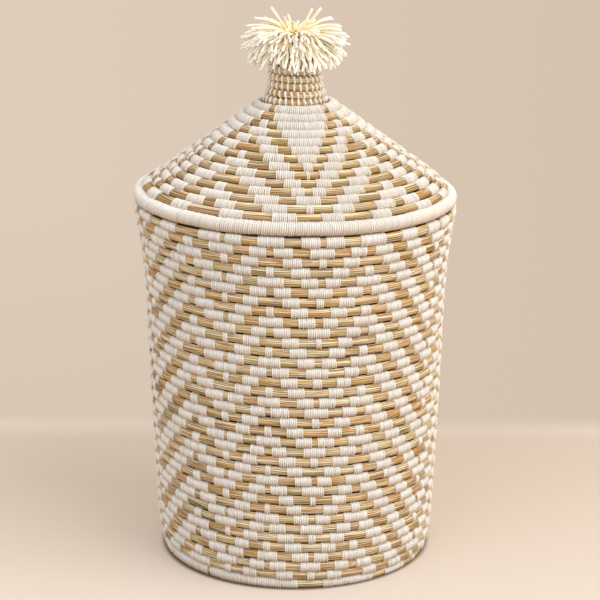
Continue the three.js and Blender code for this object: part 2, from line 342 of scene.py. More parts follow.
def node(tree, kind, settings=(), **sockets):
    """Adds a node. A socket is given a value, or another node's output to link to."""
    made = tree.nodes.new(kind)
    for key, value in dict(settings).items():
        setattr(made, key, value)
    for key, value in sockets.items():
        socket = made.inputs[int(key[1:])] if key[0] == "i" and key[1:].isdigit() else made.inputs[key]
        if isinstance(value, bpy.types.NodeSocket):
            tree.links.new(value, socket)
        else:
            socket.default_value = value
    return made


def sums(tree, operation, *values):
    """One step of arithmetic between sockets or numbers."""
    inputs = {f"i{place}": value for place, value in enumerate(values)}
    return node(tree, "ShaderNodeMath", {"operation": operation}, **inputs).outputs[0]


def times(tree, first, second):
    return sums(tree, "MULTIPLY", first, second)


def stretched(tree, value, factor, offset):
    return sums(tree, "MULTIPLY_ADD", value, factor, offset)


def mixed(tree, share, first, second):
    """One colour fading into another by a share from 0 to 1."""
    made = node(tree, "ShaderNodeMix", {"data_type": "RGBA"}, i0=share)
    for socket, value in ((made.inputs[6], first), (made.inputs[7], second)):
        if isinstance(value, bpy.types.NodeSocket):
            tree.links.new(value, socket)
        else:
            socket.default_value = (*value, 1)
    return made.outputs[2]


def ramp(tree, share, stops, interpolation="LINEAR"):
    """A colour picked from stops by a number from 0 to 1."""
    made = node(tree, "ShaderNodeValToRGB", i0=share)
    made.color_ramp.interpolation = interpolation
    elements = made.color_ramp.elements
    while len(elements) < len(stops):
        elements.new(0.5)
    for element, (place, color) in zip(elements, stops):
        element.position, element.color = place, (*color, 1)
    return made.outputs[0]


def band(tree, value, low, high):
    """Fades from 0 to 1 while a value goes from low to high, which may also be downwards."""
    made = node(tree, "ShaderNodeMapRange", {"interpolation_type": "SMOOTHSTEP"}, i0=value, i1=low, i2=high)
    return made.outputs[0]


def chance(tree, *values):
    """A number between 0 and 1, picked afresh for each whole value."""
    place = node(tree, "ShaderNodeCombineXYZ", **{f"i{axis}": value for axis, value in enumerate(values)})
    return node(tree, "ShaderNodeTexWhiteNoise", Vector=place.outputs[0]).outputs[0]


def streaks(tree, *values, detail=2.0):
    """Soft noise over up to three numbers, drawn out along whichever of them grows slowest."""
    place = node(tree, "ShaderNodeCombineXYZ", **{f"i{axis}": value for axis, value in enumerate(values)})
    return node(tree, "ShaderNodeTexNoise", Vector=place.outputs[0], Scale=1.0, Detail=detail).outputs[0]


def mark(tree, name):
    """A number that the mesh keeps at its points."""
    return node(tree, "ShaderNodeAttribute", {"attribute_name": name}).outputs["Fac"]


def grass_finish(name, length, straw, stems, shade=0.8):
    """Dry grass: each stem has its own straw colour, and painted shade in dark lines beside it. The
    course also has painted shade: browner where the one above shades it, olive at its foot,
    and nearly black deep between the courses."""
    material, tree, skin = shader(name)
    lay = node(tree, "ShaderNodeUVMap", {"uv_map": "lay"}).outputs[0]
    split = node(tree, "ShaderNodeSeparateXYZ", i0=lay)
    high = mark(tree, "high")
    metres = times(tree, split.outputs[0], length)
    object_place = node(tree, "ShaderNodeTexCoord").outputs[3]
    wander = node(tree, "ShaderNodeTexNoise", Vector=object_place, Scale=16.0, Detail=1.0).outputs[0]
    around = times(tree, split.outputs[1], stems)
    place = sums(tree, "ADD", around, stretched(tree, wander, 1.4, -0.2))
    stem = sums(tree, "MODULO", sums(tree, "FLOOR", place), stems)
    across = sums(tree, "ABSOLUTE", stretched(tree, sums(tree, "FRACT", place), 2, -1))
    start = times(tree, chance(tree, stem), 20)
    length_of = sums(tree, "FLOOR", stretched(tree, metres, 13, start))
    tone = chance(tree, stem, length_of)
    color = ramp(tree, tone, tuple(zip(STRAW_FROM, straw)), "CONSTANT")
    wash = streaks(tree, times(tree, metres, 34), times(tree, place, 1.1))
    color = mixed(tree, times(tree, band(tree, wash, 0.45, 0.7), 0.2), color, straw[3])
    fine = streaks(tree, times(tree, metres, 36), times(tree, place, 3.1))
    color = mixed(tree, times(tree, band(tree, fine, 0.49, 0.38), 0.85), color, STRAW_BROWN)
    color = mixed(tree, times(tree, band(tree, fine, 0.52, 0.62), 0.8), color, STRAW_PALE)
    patch = band(tree, streaks(tree, times(tree, metres, 25), 3.0), 0.35, 0.6)
    # Painted shade: browner in patches at the top of the course, under the course above
    top = times(tree, band(tree, high, 0.6, 0.95), stretched(tree, patch, 0.4, 0.05))
    color = mixed(tree, top, color, UNDER_COURSE_PAINTED_SHADE)
    # Painted shade: olive towards the foot of the course, as much as the shade argument gives
    foot = times(tree, band(tree, high, 0.5, -1.0), shade)
    color = mixed(tree, foot, color, FOOT_PAINTED_SHADE)
    # Painted shade: a dark line in the groove between each two stems, stronger on some than others
    strength = stretched(tree, chance(tree, stem, length_of, 5.0), 0.55, 0.45)
    line = times(tree, band(tree, across, 0.52, 0.92), strength)
    color = mixed(tree, line, color, STEM_LINE_PAINTED_SHADE)
    # Painted shade: nearly black deep in the groove between this course and the next
    deep = band(tree, sums(tree, "ABSOLUTE", high), 0.9, 0.985)
    color = mixed(tree, deep, color, GROOVE_PAINTED_SHADE)
    tree.links.new(color, skin.inputs["Base Color"])
    rounded = sums(tree, "SUBTRACT", times(tree, fine, 0.6), times(tree, across, across))
    bump = node(tree, "ShaderNodeBump", Strength=0.7, Distance=0.35 * MM, Height=rounded)
    tree.links.new(bump.outputs[0], skin.inputs["Normal"])
    skin.inputs["Roughness"].default_value = 0.45
    skin.inputs["Specular IOR Level"].default_value = 0.4
    return material


def yarn_finish(name, pale=YARN_WHITE, dull=YARN_DULL, shade=0.85):
    """Off-white yarn: soft and matt, each turn a little different, with painted shade on the lower
    half of each turn, in the valleys between turns and where it meets its neighbours, and here
    and there painted shade in a dark gap between the turns."""
    material, tree, skin = shader(name)
    lay = node(tree, "ShaderNodeUVMap", {"uv_map": "lay"}).outputs[0]
    around = node(tree, "ShaderNodeSeparateXYZ", i0=lay).outputs[1]
    wind = mark(tree, "wind")
    across = sums(tree, "ABSOLUTE", stretched(tree, sums(tree, "FRACT", wind), 2, -1))
    number = sums(tree, "FLOOR", wind)
    tone = chance(tree, number, 1.0)
    soft = streaks(tree, times(tree, wind, 0.35), times(tree, around, 9))
    white = mixed(tree, times(tree, tone, 0.35), pale, dull)
    white = mixed(tree, times(tree, band(tree, soft, 0.5, 0.75), 0.4), white, dull)
    mottle = streaks(tree, times(tree, wind, 1.3), times(tree, around, 24), detail=3.0)
    white = mixed(tree, times(tree, band(tree, mottle, 0.5, 0.36), 0.6), white, dull)
    gap = sums(tree, "FLOOR", sums(tree, "ADD", wind, 0.5))
    dark = chance(tree, gap, 2.0)
    speck = streaks(tree, times(tree, gap, 7.3), times(tree, around, 26))
    high = mark(tree, "high")
    lower = band(tree, high, 0.52, -1.0)
    # Painted shade: darker towards the lower half of each turn, as much as the shade argument gives
    white = mixed(tree, times(tree, lower, shade), white, YARN_LOWER_PAINTED_SHADE)
    # Painted shade in the valleys between the turns, deeper towards the lower half
    depth = stretched(tree, times(tree, dark, dark), 0.5, 0.3)
    depth = times(tree, depth, stretched(tree, lower, 0.8, 0.5))
    seam = times(tree, band(tree, across, 0.55, 1.0), depth)
    white = mixed(tree, seam, white, YARN_SHADE)
    # Painted shade at the top and bottom of the section, in the creases against the neighbouring courses
    edge = band(tree, sums(tree, "ABSOLUTE", high), 0.85, 1.0)
    white = mixed(tree, times(tree, edge, 0.7), white, YARN_EDGE_PAINTED_SHADE)
    # Painted shade: a dark gap between the turns here and there, more of them towards the lower half
    gap_shade = times(tree, band(tree, across, 0.3, 0.8), band(tree, speck, 0.58, 0.68))
    gap_shade = times(tree, gap_shade, stretched(tree, lower, 0.6, 0.4))
    white = mixed(tree, times(tree, gap_shade, band(tree, dark, 0.4, 0.9)), white, YARN_GAP_PAINTED_SHADE)
    tree.links.new(white, skin.inputs["Base Color"])
    fibre = streaks(tree, times(tree, wind, 5), times(tree, around, 55), detail=3.0)
    rounded = times(tree, across, across)
    height = sums(tree, "SUBTRACT", times(tree, fibre, 0.5), rounded)
    bump = node(tree, "ShaderNodeBump", Strength=1.0, Distance=0.6 * MM, Height=height)
    tree.links.new(bump.outputs[0], skin.inputs["Normal"])
    skin.inputs["Roughness"].default_value = 0.85
    skin.inputs["Specular IOR Level"].default_value = 0.2
    skin.inputs["Sheen Weight"].default_value = 0.15
    return material


def wrap_rows(value, period):
    """How far a place is from the nearest stripe, in courses."""
    return (value + period / 2) % period - period / 2


# The zigzag: the height of a stripe, in courses, at its turning points round the basket, each
# given with its angle in degrees from the front
WALL_COURSES = 36
TURNING_POINTS = (
    (-94, -3.4), (-66.5, 5.12), (-39.6, -1.56), (-25.0, 2.25), (-8.2, -3.45), (9.8, 2.46), (27.1, -3.45),
    (61.4, 6.53), (95, -3.4), (112.5, 2.4), (130, -3.4), (147.5, 2.4), (165, -3.4), (199, 6.4),
    (233, -3.4), (250, 2.4), (266, -3.4),
)
TURNING_ANGLES, TURNING_ROWS = zip(*TURNING_POINTS)
STRIPE_SPACING = 4
STRIPE_HALF = 1.02


def zigzag(row, angle):
    """True where the course is wound with yarn."""
    line = (angle - TURNING_ANGLES[0]) % 360 + TURNING_ANGLES[0]
    stripe = np.interp(line, TURNING_ANGLES, TURNING_ROWS)
    return np.abs(wrap_rows(row - stripe, STRIPE_SPACING)) < STRIPE_HALF


base_run = ((BASE_KNOT_RADIUS + 0.1 * MM, BASE_MIDDLE), (BASE_RIM_RADIUS, BASE_MIDDLE))
base_coil = Coil(base_run, BASE_COURSES, BASE_THICKNESS, -1)
base_last = BASE_COURSES + 1 - TAIL_START


def base_pattern(turn, random):
    """The wall's zigzag, carried on under the basket towards its centre."""
    return zigzag(WALL_COURSES + 1 + BASE_COURSES - turn, -360 * turn)


def wound_throughout(turn, random):
    return np.full(len(turn), True)


def stand_flat(piece):
    """Presses the undersides of the courses level with the floor."""
    for vert in piece.data.vertices:
        vert.co.z = max(vert.co.z, FLOOR_CLEAR)


base_grass = grass("base_bundle", base_coil, TAIL_START, base_last, 11)
base_blocks = bound_blocks(base_coil, TAIL_START + END_BARE, base_last - END_BARE, base_pattern, 12)
base_yarn = wound_yarn("base_binding", base_coil, base_blocks, 13, catch=FLAT_CATCH)
knot_run = ((KNOT_START, BASE_MIDDLE), (BASE_KNOT_RADIUS - KNOT_GAP, BASE_MIDDLE))
knot_coil = Coil(knot_run, KNOT_COURSES, KNOT_THICKNESS, -1)
knot_last = KNOT_COURSES + 1 - TAIL_START
knot_grass = grass("base_knot", knot_coil, TAIL_START, knot_last, 14)
knot_blocks = bound_blocks(knot_coil, TAIL_START + END_BARE, knot_last - END_BARE, wound_throughout, 15)
knot_yarn = wound_yarn("base_knot_binding", knot_coil, knot_blocks, 16, catch=0)
for piece, material_slot in (
    (base_grass, "grass_bundle"), (base_yarn, "binding_yarn"),
    (knot_grass, "grass_bundle"), (knot_yarn, "binding_yarn"),
):
    stand_flat(piece)
    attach(piece, "basket")
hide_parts("base_coil")
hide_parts("base_centre_knot")

# Wall. The same bundle climbs to the left in 36 courses, drawn in at the foot and flared at the
# mouth. Off-white yarn binds it in close turns, in blocks that step from course to course. It
# stands a little higher at the left than at the right.
WALL_HEIGHT = 324 * MM
WALL_THICKNESS = 9 * MM
WALL_OUTSIDE = (
    (124.7 * MM, 0), (131.1 * MM, 0.42 * WALL_HEIGHT),
    (135.8 * MM, 0.8 * WALL_HEIGHT), (144.2 * MM, WALL_HEIGHT),
)
MOUTH_LEAN = 2.2 * MM
FOOT_LEAN_SHARE = 0.75
LEAN_FROM_FLOOR = 40 * MM
FOOT_RAISE = 0.5 * MM
FOOT_TUCK = 3.4 * MM
FOOT_TUCK_HEIGHT = 24 * MM
LINE_DRIFT = 3.6
STEP_SPACING = 0.02
STEP_DRIFT = 0.03
SPLICE_TURN = 18.5
# Where the foot's own course lies bare, in degrees from the front
FOOT_BARE = (
    (0.8, 11.8), (34.3, 41.7), (53.6, 61.5), (63.5, 74), (84, 92), (122, 130), (165, 174),
    (212, 220), (258, 266), (320.3, 321.7),
)
WALL_BINDINGS = 4
wall_run = [(radius - WALL_THICKNESS / 2, height) for radius, height in WALL_OUTSIDE]
wall_coil = Coil(wall_run, WALL_COURSES, WALL_THICKNESS, -1)
wall_coil.radius -= FOOT_TUCK * (1 - smooth(wall_coil.height / FOOT_TUCK_HEIGHT))
wall_coil.height += FOOT_RAISE * (1 - smooth(wall_coil.height / FOOT_TUCK_HEIGHT))
lean_share = smooth(wall_coil.height / LEAN_FROM_FLOOR)
wall_coil.lean = MOUTH_LEAN * (FOOT_LEAN_SHARE + (1 - FOOT_LEAN_SHARE) * lean_share)
wall_last = WALL_COURSES + 1 - TAIL_START


def wall_pattern(turn, random):
    """The zigzag, whose turning points drift a little from the mouth down to the foot. The foot's
    own course is wound nearly all round."""
    row = WALL_COURSES + 1 - turn
    angle = -360 * turn + LINE_DRIFT * row / WALL_COURSES
    wound = zigzag(row + drift(random, turn, STEP_SPACING, STEP_DRIFT), angle)
    round_foot = (-360 * turn) % 360
    bare = np.zeros(len(turn), bool)
    for low, high in FOOT_BARE:
        bare |= (round_foot > low) & (round_foot < high)
    return np.where(row > WALL_COURSES - 0.5, ~bare, wound)


for name, node_name, first_turn, last_turn, seed in (
    ("wall_bundle_lower", "wall_coil_lower", TAIL_START, SPLICE_TURN, 21),
    ("wall_bundle_upper", "wall_coil_upper", SPLICE_TURN, wall_last, 22),
):
    piece = grass(name, wall_coil, first_turn, last_turn, seed)
    stand_flat(piece)
    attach(piece, "basket")
    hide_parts(node_name)

wall_blocks = bound_blocks(wall_coil, TAIL_START + END_BARE, wall_last - END_BARE, wall_pattern, 23)
share = len(wall_blocks) // WALL_BINDINGS + 1
for part in range(WALL_BINDINGS):
    blocks = wall_blocks[part * share:(part + 1) * share]
    piece = wound_yarn(f"wall_binding_{part + 1}", wall_coil, blocks, 24 + part)
    stand_flat(piece)
    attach(piece, "basket")

# Lid. A cone coiled outwards from the neck in 14 courses, with its own stepped pattern: a white
# triangle under the neck in each quarter, and stripes that run down from between them.
ROLL_LOW, ROLL_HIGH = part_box("lid_edge_roll")
ROLL_MIDDLE = (ROLL_LOW.z + ROLL_HIGH.z) / 2
LID_COURSES = 14
LID_THICKNESS = 8.8 * MM
CONE_EDGE = (134.7 * MM, 334.1 * MM)
CONE_ROOT = (29.2 * MM, 411.6 * MM)
LID_LEAN_FROM = 115 * MM
LID_LEAN_OVER = 20 * MM
LID_LEAN_SHARE = 0.7
LID_LINE = 8.1
LID_LINE_DRIFT = 0.19
# The quarters aren't equal: where each one's middle and edges lie, in degrees from the front line
LID_QUARTERS = (-126, -82.5, -40.7, 0, 37.7, 79, 128, 178, 234)
LID_EVEN_QUARTERS = (-135, -90, -45, 0, 45, 90, 135, 180, 225)
# For each course, the wound stretches in degrees from the middle of a triangle
LID_CHART = (
    ((0, 40.2),), ((0, 35.4),), ((0, 28.2), (40.7, 45)), ((0, 21), (35.6, 45)), ((0, 14.7), (27.9, 41)),
    ((0, 10.4), (21, 35)), ((0, 6.6), (15.2, 29.3), (42.5, 45)), ((0, 2.9), (10.9, 23.2), (36.8, 45)),
    ((0, 1.5), (7, 18.1), (29.5, 41.3)), ((4, 12.9), (22.8, 35.9)), ((2.1, 8.5), (18.4, 29.7), (42, 45)),
    ((0, 5.6), (13.8, 25.1), (36.7, 45)), ((0, 1.8), (10, 20.2), (32.1, 42.2)), ((5.2, 15), (27.4, 37.4)),
)
lid_coil = Coil((CONE_ROOT, CONE_EDGE), LID_COURSES, LID_THICKNESS, 1, outside=-1)
lid_coil.lean = MOUTH_LEAN * smooth((lid_coil.radius - LID_LEAN_FROM) / LID_LEAN_OVER) * LID_LEAN_SHARE
lid_last = LID_COURSES + 1 - TAIL_START


def lid_pattern(turn, random):
    """True where the chart has yarn, once each quarter is stretched to an even one."""
    course = np.clip(np.round(turn), 1, LID_COURSES).astype(int)
    from_line = (360 * turn - LID_LINE + LID_LINE_DRIFT * course - LID_QUARTERS[0]) % 360 + LID_QUARTERS[0]
    even = np.interp(from_line, LID_QUARTERS, LID_EVEN_QUARTERS)
    in_sector = np.abs((even + 45) % 90 - 45)
    wound = np.zeros(len(turn), bool)
    for row, stretches in enumerate(LID_CHART):
        for low, high in stretches:
            wound |= (course == row + 1) & (in_sector >= low) & (in_sector <= high)
    return wound


lid_grass = grass("lid_bundle", lid_coil, TAIL_START, lid_last, 31, shade=0.85)
lid_blocks = bound_blocks(
    lid_coil, TAIL_START + END_BARE, lid_last - END_BARE, lid_pattern, 32, fewest=2,
)
lid_yarn = wound_yarn("lid_binding", lid_coil, lid_blocks, 33, shade=0.4)
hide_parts("lid_coil")
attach(lid_grass, "lid")
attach(lid_yarn, "lid")

# Edge roll. A thicker roll on the lid's edge, bound all over with the same yarn. It rests on the
# wall's top course.
ROLL_HALF_WIDTH = 6.1 * MM
ROLL_HALF_HEIGHT = (ROLL_HIGH.z - ROLL_LOW.z) / 2
ROLL_DRAWN_IN = 1.0 * MM
ROLL_RADIUS = (ROLL_HIGH.x - ROLL_LOW.x) / 2 - ROLL_HALF_WIDTH - ROLL_DRAWN_IN
ROLL_TURNS = 470
ROLL_RING = 18
ROLL_CREST_SPREAD = 0.2
ROLL_VALLEY_SPREAD = 0.12
ROLL_SWELL = 0.8 * MM
ROLL_MEAN_LIFT = 0.55
ROLL_SLANT = 0.0006
ROLL_SLANT_TURNED = 0.6
# How tall each long wave of the roll is, how many there are round it, and where it starts
ROLL_WAVES = ((0.2 * MM, 7, 1), (0.15 * MM, 17, 0))
# Degrees round the roll's section, from its inner side and back. It rests on the wall's top course
# at the second, and the lid's last course lies against it at the third
ROLL_TOUCHES = (180, 262, 498, 540)
random = np.random.default_rng(41)
roll_ring = np.arange(ROLL_TURNS)
roll_wind = in_threes(0, roll_ring + CREST_FROM, roll_ring + CREST_TO, roll_ring + 1.0)
roll_crest = 1 + random.normal(0, ROLL_CREST_SPREAD, ROLL_TURNS)
roll_valley = random.normal(0, ROLL_VALLEY_SPREAD, ROLL_TURNS)
roll_valley[-1] = 0
roll_lift = in_threes(0, roll_crest, roll_crest, roll_valley)
roll_angle = math.pi + np.linspace(0, 2 * math.pi, ROLL_RING + 1)[:, None]
around = 2 * math.pi * (roll_wind / ROLL_TURNS + ROLL_SLANT * np.sin(roll_angle + ROLL_SLANT_TURNED))
swell = (roll_lift - ROLL_MEAN_LIFT) * ROLL_SWELL
uneven = sum(tall * np.sin(around * number + start) for tall, number, start in ROLL_WAVES)
reach = ROLL_RADIUS + (ROLL_HALF_WIDTH + swell) * np.cos(roll_angle)
level = ROLL_MIDDLE + (ROLL_HALF_HEIGHT + swell) * np.sin(roll_angle)
level = level + uneven - MOUTH_LEAN * np.sin(around)
roll_places = np.stack(np.broadcast_arrays(reach * np.sin(around), -reach * np.cos(around), level), -1)
# The mark is -1 where the roll rests on the wall's top course and 1 where the lid's last course lies
# against it, so that the yarn finish paints shade in these creases and darker towards the wall
roll_high = np.interp(np.degrees(roll_angle), ROLL_TOUCHES, (0, -1, 1, 0))
roll = rolled("lid_roll", roll_places, wind=roll_wind, high=roll_high)
roll.data.materials.append(yarn_finish("lid_roll_yarn", shade=1.0))
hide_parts("lid_edge_roll")
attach(roll, "lid")

# Locating coil. Two courses of grass bundle and yarn, sewn under the lid's edge. They drop inside
# the wall's mouth and keep the lid in its place.
LOCATING_LOW, LOCATING_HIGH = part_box("lid_locating_coil")
LOCATING_RADIUS = 126.9 * MM
LOCATING_COURSES = 2
LOCATING_THICKNESS = 8.4 * MM
LOCATING_BLOCKS = 18
locating_run = ((LOCATING_RADIUS, LOCATING_LOW.z), (LOCATING_RADIUS, LOCATING_HIGH.z))
locating_coil = Coil(locating_run, LOCATING_COURSES, LOCATING_THICKNESS, -1)
locating_last = LOCATING_COURSES + 1 - TAIL_START
locating_grass = grass("locating_bundle", locating_coil, TAIL_START, locating_last, 51)


def locating_pattern(turn, random):
    return (turn * 2 * LOCATING_BLOCKS) % 2 < 1


locating_blocks = bound_blocks(
    locating_coil, TAIL_START + END_BARE, locating_last - END_BARE, locating_pattern, 52,
)
locating_yarn = wound_yarn("locating_binding", locating_coil, locating_blocks, 53, catch=FLAT_CATCH)
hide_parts("lid_locating_coil")
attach(locating_grass, "lid")
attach(locating_yarn, "lid")

# Neck. Thinner courses of darker bundle, sewn with single stitches that split those below, and
# filled with a core of upright stems.
NECK_FOOT = 411.5 * MM
NECK_HEIGHT = 40.3 * MM
NECK_TOP = NECK_FOOT + NECK_HEIGHT
NECK_THICKNESS = 7.2 * MM
NECK_OUTSIDE = (
    (30.0 * MM, NECK_FOOT), (24.5 * MM, NECK_FOOT + 0.4 * NECK_HEIGHT), (23.0 * MM, NECK_TOP),
)
NECK_COURSES = 6
NECK_STITCH_SPACING = 5.8 * MM
NECK_STITCH_WIDTH = 2.45 * MM
NECK_END_BARE = 0.08
NECK_YARN_PALE = (0.97, 0.94, 0.87)
NECK_YARN_DULL = (0.88, 0.78, 0.62)
NECK_STRAW = (
    (0.66, 0.3, 0.085), (0.8, 0.46, 0.16), (0.9, 0.59, 0.25), (0.95, 0.76, 0.44), (0.64, 0.41, 0.15),
)
neck_run = [(radius - NECK_THICKNESS / 2, height) for radius, height in NECK_OUTSIDE]
neck_coil = Coil(neck_run, NECK_COURSES, NECK_THICKNESS, -1)
neck_last = NECK_COURSES + 1 - TAIL_START
neck_grass = grass("neck_bundle", neck_coil, TAIL_START, neck_last, 61, NECK_STRAW, shade=0.35)
stitches = []
turn = TAIL_START + NECK_END_BARE
while turn < neck_last - NECK_END_BARE:
    around_here = 2 * math.pi * (neck_coil.radius_at(turn) + NECK_THICKNESS / 2)
    stitches.append((turn, turn + NECK_STITCH_WIDTH / around_here, 1))
    turn += NECK_STITCH_SPACING / around_here
neck_yarn = wound_yarn(
    "neck_stitches", neck_coil, stitches, 62, proud=0.95 * MM, catch=0.5 * MM, slant=0.22,
    pale=NECK_YARN_PALE, dull=NECK_YARN_DULL, shade=0.35,
)
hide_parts("neck_coil")
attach(neck_grass, "lid")
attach(neck_yarn, "lid")

CORE_LOW, CORE_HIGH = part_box("neck_core")
CORE_RADIUS = (CORE_HIGH.x - CORE_LOW.x) / 2
CORE_DOME = 2.5 * MM
CORE_STEMS = 24
CORE_GROOVE = 0.93
CORE_TWIST = 0.25
CORE_LEVELS = 12
core_height = np.linspace(0, 1, CORE_LEVELS)
core_out = np.concatenate([[0.02, 0.6], np.full(CORE_LEVELS, 1.0), [0.8, 0.45, 0.02]])
core_up = np.concatenate([[0, 0], core_height, [1, 1, 1]])
core_rise = np.concatenate([np.zeros(CORE_LEVELS + 2), [0.45, 0.85, 1.0]]) * CORE_DOME
core_level = CORE_LOW.z + (CORE_HIGH.z - CORE_DOME - CORE_LOW.z) * core_up + core_rise
corner = np.arange(2 * CORE_STEMS + 1)[:, None]
core_reach = CORE_RADIUS * core_out * np.where(corner % 2, CORE_GROOVE, 1.0)
core_angle = corner * math.pi / CORE_STEMS + CORE_TWIST * core_up
core_across = core_reach * np.cos(core_angle)
core_deep = core_reach * np.sin(core_angle)
core_places = np.stack(np.broadcast_arrays(core_across, core_deep, core_level), -1)
neck_core = rolled("neck_core_bundle", core_places, high=0.0)
core_length = CORE_HIGH.z - CORE_LOW.z
neck_core.data.materials.append(grass_finish("neck_core_grass", core_length, NECK_STRAW, CORE_STEMS))
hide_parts("neck_core")
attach(neck_core, "lid")

# Pompom. A bunch of cream yarn strands bound to the neck's core by three turns of the same yarn.
# The strands rise together, spread and droop over the neck's top courses, and a few stand up.
TIE_LOW, TIE_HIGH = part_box("pompom_tie")
TIE_TURNS = 3
TIE_YARN = 2.8 * MM
TIE_STEPS = 90
TIE_RING = 10
TIE_FILLS_ON = 0.98
TIE_MARKS = 9
TIE_RADIUS = (TIE_HIGH.x - TIE_LOW.x) / 2
tie_run = ((TIE_RADIUS - TIE_YARN / 2, TIE_LOW.z), (TIE_RADIUS - TIE_YARN / 2, TIE_HIGH.z))
tie_coil = Coil(tie_run, TIE_TURNS, TIE_YARN, 1)
tie_turn = np.linspace(TAIL_START, TIE_TURNS + 1 - TAIL_START, TIE_STEPS)
tie_angle = np.linspace(0, 2 * math.pi, TIE_RING + 1)[:, None]
tie_out = tie_coil.half_thickness(tie_turn) * np.cos(tie_angle)
tie_on = tie_coil.half_course(tie_turn) * TIE_FILLS_ON * np.sin(tie_angle)
tie_places = tie_coil.points(tie_turn, tie_out, tie_on)
tie = rolled("pompom_tie_yarn", tie_places, wind=tie_turn * TIE_MARKS, high=np.sin(tie_angle))
tie.data.materials.append(yarn_finish("pompom_tie_finish"))
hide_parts("pompom_tie")
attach(tie, "lid")

STRANDS = 362
STRAND_RADIUS = 1.06 * MM
STRAND_STEPS = 14
STRAND_SIDES = 7
STRAND_LENGTH = 49.5 * MM
STRAND_RISE = math.radians(86)
STRAND_UNEVEN = 0.07
GOLDEN_TURN = 2.39996
BEARING_SPREAD = 0.12
LENGTH_SPREAD = 2.4 * MM
# Aim above the level and bend downwards, both in degrees: the outermost strands aim lowest
AIM_HIGHEST = 30
AIM_RANGE = 64
AIM_POWER = 0.9
AIM_SPREAD = 3
BEND_MEAN = 34
BEND_SPREAD = 8
BEND_POWER = 1.3
SWAY_SPREAD = 0.13
WAVE_TALL = 0.05
WAVE_RATE = 9
WAVE_STARTS = (0, 6)
BUNCH_RADIUS = 4.8 * MM
BUNCH_SUNK = 2 * MM
NECKING = 0.24
# The strands that stand up: bearing, rise and bend in degrees, and length in millimetres
STANDING_STRANDS = (
    (-88, 64, 10, 41), (-76, 57, 2, 39), (84, 58, 4, 40),
    (96, 60, 12, 41), (78, 68, 6, 38), (200, 50, 10, 34),
)
STANDING = len(STANDING_STRANDS)
# The short strands in the middle of the bunch: mean and spread of their aim and bend in degrees
HEART = 34
HEART_OUTER = 0.2
HEART_AIM = (74, 8)
HEART_BEND = (48, 14)
HEART_LENGTHS = (15 * MM, 27 * MM)
# Painted light: the warm yellow towards the tie stands for light glowing through the yarn deep in the bunch
STRAND_PAINTED_GLOW_STOPS = (
    (0.14, (1.0, 0.72, 0.32)), (0.38, (1.0, 0.81, 0.46)), (0.6, (0.99, 0.88, 0.65)),
    (0.84, (0.97, 0.92, 0.79)), (0.95, (0.98, 0.95, 0.88)),
)
STRAND_TONE = (0.98, 0.86, 0.62)
PLY_TONE = (0.95, 0.8, 0.5)
PLY_TURN = 12.566
random = np.random.default_rng(71)
bearing = np.arange(STRANDS) * GOLDEN_TURN + random.normal(0, BEARING_SPREAD, STRANDS)
outer = random.permutation(STRANDS) / STRANDS
aim = np.radians(AIM_HIGHEST - AIM_RANGE * outer**AIM_POWER + random.normal(0, AIM_SPREAD, STRANDS))
bend = np.radians(random.normal(BEND_MEAN, BEND_SPREAD, STRANDS))
length = random.normal(STRAND_LENGTH, LENGTH_SPREAD, STRANDS)
standing = np.array(STANDING_STRANDS, float)
bearing[:STANDING] = np.radians(standing[:, 0])
aim[:STANDING] = np.radians(standing[:, 1])
bend[:STANDING] = np.radians(standing[:, 2])
length[:STANDING] = standing[:, 3] * MM
heart = slice(STANDING, STANDING + HEART)
outer[heart] = np.linspace(0, HEART_OUTER, HEART)
aim[heart] = np.radians(random.normal(*HEART_AIM, HEART))
bend[heart] = np.radians(random.normal(*HEART_BEND, HEART))
length[heart] = random.uniform(*HEART_LENGTHS, HEART)
share = np.linspace(0, 1, STRAND_STEPS + 1)[:, None]
turning = smooth(share / (2 * NECKING))
after = np.clip((share - NECKING) / (1 - NECKING), 0, 1)
pitch_angle = STRAND_RISE * (1 - turning) + aim * turning - bend * after**BEND_POWER
sway = random.normal(0, SWAY_SPREAD, STRANDS) * share
sway = sway + WAVE_TALL * np.sin(WAVE_RATE * share + random.uniform(*WAVE_STARTS, STRANDS))
step = length / STRAND_STEPS
start = BUNCH_RADIUS * np.sqrt(outer + 0.02)
outwards = start + np.cumsum(np.cos(pitch_angle) * step, axis=0) - np.cos(pitch_angle[0]) * step
upwards = np.cumsum(np.sin(pitch_angle) * step, axis=0) - np.sin(pitch_angle[0]) * step
direction = bearing + sway
level = TIE_HIGH.z - BUNCH_SUNK + upwards
centre = np.stack([outwards * np.sin(direction), -outwards * np.cos(direction), level], -1)
centre = centre.transpose(1, 0, 2)
forward = np.gradient(centre, axis=1)
forward /= np.linalg.norm(forward, axis=2, keepdims=True)
side = np.cross(forward, np.stack([-np.cos(bearing), np.sin(bearing), np.zeros(STRANDS)], -1)[:, None, :])
side = np.cross(side, forward)
side /= np.linalg.norm(side, axis=2, keepdims=True)
up = np.cross(side, forward)
thick = STRAND_RADIUS * (1 + STRAND_UNEVEN * random.normal(0, 1, (STRANDS, STRAND_STEPS + 1)))
thick *= (0.72 + 0.28 * smooth(share.T / 0.4)) * (1 + 0.12 * share.T**8)
rim = np.linspace(0, 2 * math.pi, STRAND_SIDES + 1)[:, None, None]
ring = np.cos(rim)[..., None] * (side * thick[..., None]) + np.sin(rim)[..., None] * (up * thick[..., None])
places = (centre + ring).reshape(STRAND_SIDES + 1, -1, 3)
bridges = [strand * (STRAND_STEPS + 1) - 1 for strand in range(1, STRANDS)]
strand_share = np.outer(length / np.median(length), share.ravel()).ravel()
strand_number = np.repeat(np.arange(STRANDS), STRAND_STEPS + 1)
pompom = rolled("pompom_strands", places, cuts=bridges, along=strand_share, strand=strand_number)


